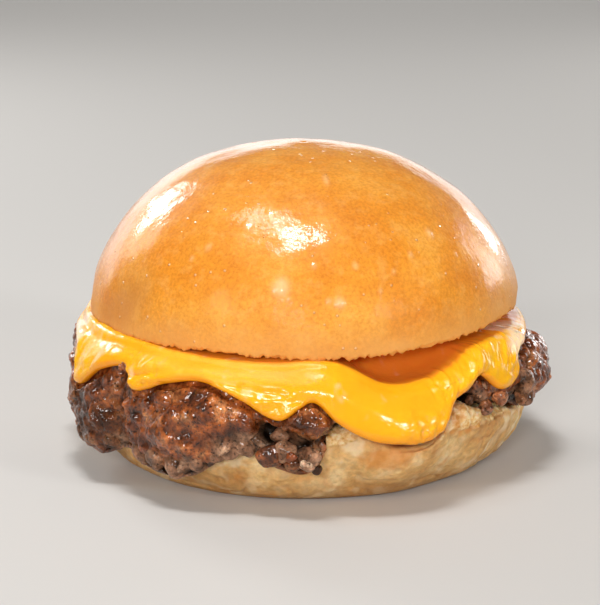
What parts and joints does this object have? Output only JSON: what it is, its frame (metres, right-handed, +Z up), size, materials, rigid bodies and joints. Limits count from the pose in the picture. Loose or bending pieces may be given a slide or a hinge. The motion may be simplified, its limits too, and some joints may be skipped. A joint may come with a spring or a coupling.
{
  "type": "cheeseburger",
  "caption": "Ready-to-eat cheeseburger: glossy domed bun crown, melted cheese slice draped over a craggy seared ground beef patty, soft bun heel underneath.",
  "frame": {"origin": "centre of the heel's flat base, on the surface the burger stands on", "axes": "+Z up through the middle of the bun; -Y faces the viewer of the picture, the side where the cheese hangs lowest; +X to that viewer's right"},
  "size_m": [0.1195, 0.118, 0.0763],
  "materials": {
    "heel_bread": "matte soft bread with a pale crumb",
    "seared_beef": "craggy seared ground beef, wet with fat",
    "melted_cheese": "smooth glossy melted cheese",
    "crown_crust": "egg-washed golden crust, glossy on top"
  },
  "bodies": {
    "root": {"bun_heel": "heel_bread", "patty": "seared_beef", "cheese_slice": "melted_cheese", "bun_crown": "crown_crust"}
  },
  "joints": []
}
